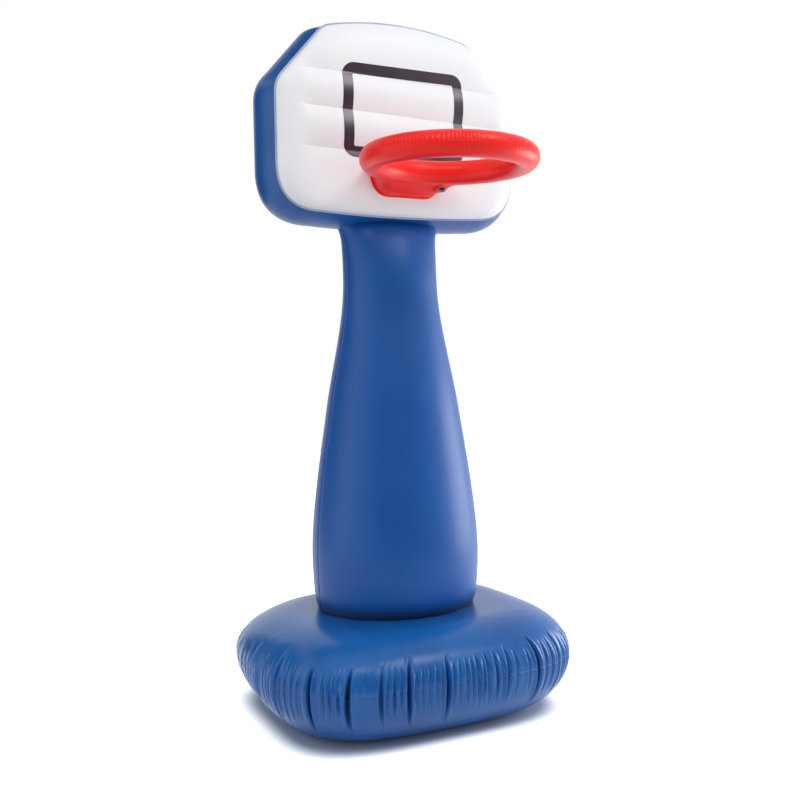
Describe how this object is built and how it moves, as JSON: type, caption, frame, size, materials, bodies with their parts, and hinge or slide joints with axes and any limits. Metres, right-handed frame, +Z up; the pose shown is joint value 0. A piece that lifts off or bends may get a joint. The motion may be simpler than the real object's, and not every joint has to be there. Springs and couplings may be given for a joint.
{
  "type": "inflatable poolside basketball hoop",
  "caption": "Free-standing inflatable hoop: rounded weighted base, round tapering column, pillow-shaped backboard with a printed target frame, and an air-filled ring on a padded mount.",
  "frame": {"origin": "on the floor, on the column's axis", "axes": "+Z up, the board and the ring face -Y, +X to the right of someone who faces the board"},
  "size_m": [0.964, 1.0369, 2.076],
  "materials": {
    "blue_vinyl": "satin",
    "white_vinyl": "satin",
    "red_vinyl": "gloss",
    "black_ink": "gloss",
    "valve_vinyl": "gloss",
    "cap_plastic": "gloss"
  },
  "bodies": {
    "stand": {"base_bottom_skin": "blue_vinyl", "base_top_skin": "blue_vinyl", "base_tie_tube": "blue_vinyl", "base_valve_body": "valve_vinyl", "base_valve_tether": "valve_vinyl", "base_filler_neck": "valve_vinyl", "base_filler_strap": "cap_plastic", "column_foot_disc": "blue_vinyl", "column_front_skin": "blue_vinyl", "column_rear_skin": "blue_vinyl", "column_head_panel": "blue_vinyl", "column_valve_body": "valve_vinyl", "column_valve_tether": "valve_vinyl", "board_front_skin": "white_vinyl", "board_side_band": "blue_vinyl", "board_rear_skin": "blue_vinyl", "board_web_lower": "blue_vinyl", "board_web_middle": "blue_vinyl", "board_web_upper": "blue_vinyl", "target_print": "black_ink", "board_valve_body": "valve_vinyl", "board_valve_tether": "valve_vinyl", "hoop_top_skin": "red_vinyl", "hoop_bottom_skin": "red_vinyl", "hoop_mount_panel": "red_vinyl", "hoop_mount_skin": "red_vinyl", "hoop_valve_body": "valve_vinyl", "hoop_valve_tether": "valve_vinyl"},
    "base_stopper": {"base_valve_stopper": "valve_vinyl"},
    "base_flap": {"base_valve_flap": "valve_vinyl"},
    "column_stopper": {"column_valve_stopper": "valve_vinyl"},
    "column_flap": {"column_valve_flap": "valve_vinyl"},
    "board_stopper": {"board_valve_stopper": "valve_vinyl"},
    "board_flap": {"board_valve_flap": "valve_vinyl"},
    "hoop_stopper": {"hoop_valve_stopper": "valve_vinyl"},
    "hoop_flap": {"hoop_valve_flap": "valve_vinyl"},
    "filler_carrier": {"base_filler_tether_ring": "cap_plastic"},
    "filler_cap": {"base_filler_cap": "cap_plastic"},
    "filler_flap": {"base_filler_flap": "valve_vinyl"}
  },
  "joints": [
    {"name": "base_stopper_pull", "type": "slide", "parent": "stand", "child": "base_stopper", "axis": [-0.0006, 0.2995, 0.9541], "range_m": [0, 0.014], "deforming": ["base_valve_tether"]},
    {"name": "base_flap_swing", "type": "hinge", "parent": "stand", "child": "base_flap", "pos_m": [-0.01358, 0.29113, 0.27968], "axis": [-0.0001, -0.9541, 0.2995], "range_deg": [0, 60]},
    {"name": "column_stopper_pull", "type": "slide", "parent": "stand", "child": "column_stopper", "axis": [0, 0.9811, 0.1936], "range_m": [0, 0.014], "deforming": ["column_valve_tether"]},
    {"name": "column_flap_swing", "type": "hinge", "parent": "stand", "child": "column_flap", "pos_m": [0.0052, 0.18851, 0.95839], "axis": [0, -0.1936, 0.9811], "range_deg": [0, 60]},
    {"name": "board_stopper_pull", "type": "slide", "parent": "stand", "child": "board_stopper", "axis": [0.0009, 0.9995, 0.0319], "range_m": [0, 0.014], "deforming": ["board_valve_tether"]},
    {"name": "board_flap_swing", "type": "hinge", "parent": "stand", "child": "board_flap", "pos_m": [0.12519, 0.14125, 1.58973], "axis": [0.0008, -0.032, 0.9995], "range_deg": [0, 60]},
    {"name": "hoop_stopper_pull", "type": "slide", "parent": "stand", "child": "hoop_stopper", "axis": [0.07, -0.4457, -0.8925], "range_m": [0, 0.014], "deforming": ["hoop_valve_tether"]},
    {"name": "hoop_flap_swing", "type": "hinge", "parent": "stand", "child": "hoop_flap", "pos_m": [0.09338, -0.18229, 1.5702], "axis": [-0.2901, 0.8469, -0.4457], "range_deg": [0, 60]},
    {"name": "filler_lift", "type": "slide", "parent": "stand", "child": "filler_carrier", "axis": [0.0528, 0.0519, 0.9973], "range_m": [0, 0.009], "deforming": ["base_filler_strap"]},
    {"name": "filler_turn", "type": "hinge", "parent": "filler_carrier", "child": "filler_cap", "pos_m": [0.2538, 0.18206, 0.29812], "axis": [0.0528, 0.0519, 0.9973], "range_deg": [0, 1080]},
    {"name": "filler_flap_swing", "type": "hinge", "parent": "stand", "child": "filler_flap", "pos_m": [0.26728, 0.18156, 0.28811], "axis": [0.0014, -0.9987, 0.0519], "range_deg": [0, 60]}
  ],
  "couplings": [
    {"joint": "filler_lift", "follows": "filler_turn", "m_per_rad": 0.00047746}
  ]
}
